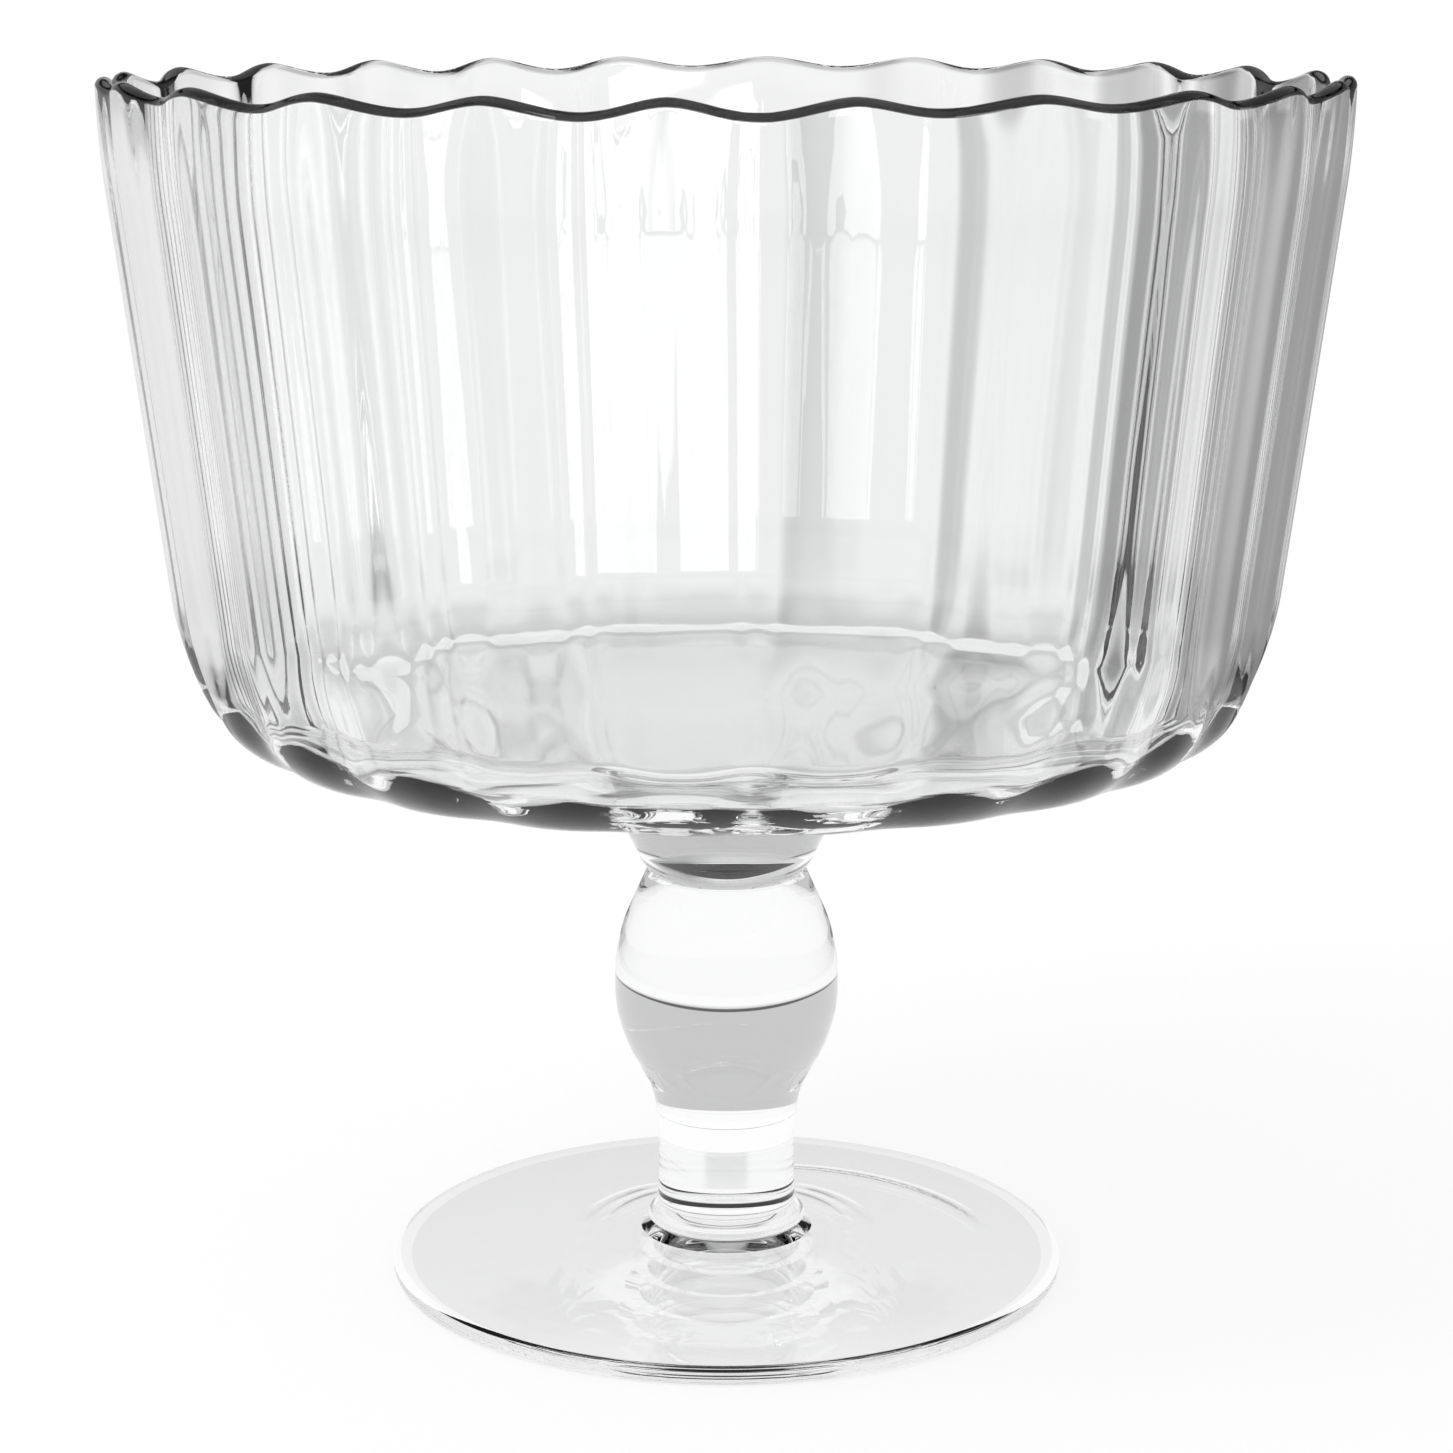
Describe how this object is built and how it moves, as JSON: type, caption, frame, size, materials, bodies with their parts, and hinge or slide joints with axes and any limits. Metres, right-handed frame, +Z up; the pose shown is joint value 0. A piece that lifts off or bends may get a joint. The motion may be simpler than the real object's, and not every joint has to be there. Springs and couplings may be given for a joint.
{
  "type": "trifle bowl",
  "caption": "Footed trifle bowl of clear hand-made glass: flaring fluted wall with a wavy rim and rounded heel, on a knopped solid stem and a flat round foot. Holds a layered dessert.",
  "frame": {"origin": "on the table, under the middle of the foot", "axes": "+Z up along the stem. A crest of the flutes stands 5 degrees to the left of the middle, seen from -Y"},
  "size_m": [0.2098, 0.2098, 0.2115],
  "materials": {
    "bowl_glass": "clear blown glass, fire-polished",
    "stem_glass": "clear solid glass, fire-polished"
  },
  "bodies": {
    "root": {"bowl": "bowl_glass", "collar": "stem_glass", "knop": "stem_glass", "shank": "stem_glass", "foot_ring": "stem_glass", "foot": "stem_glass"}
  },
  "joints": []
}
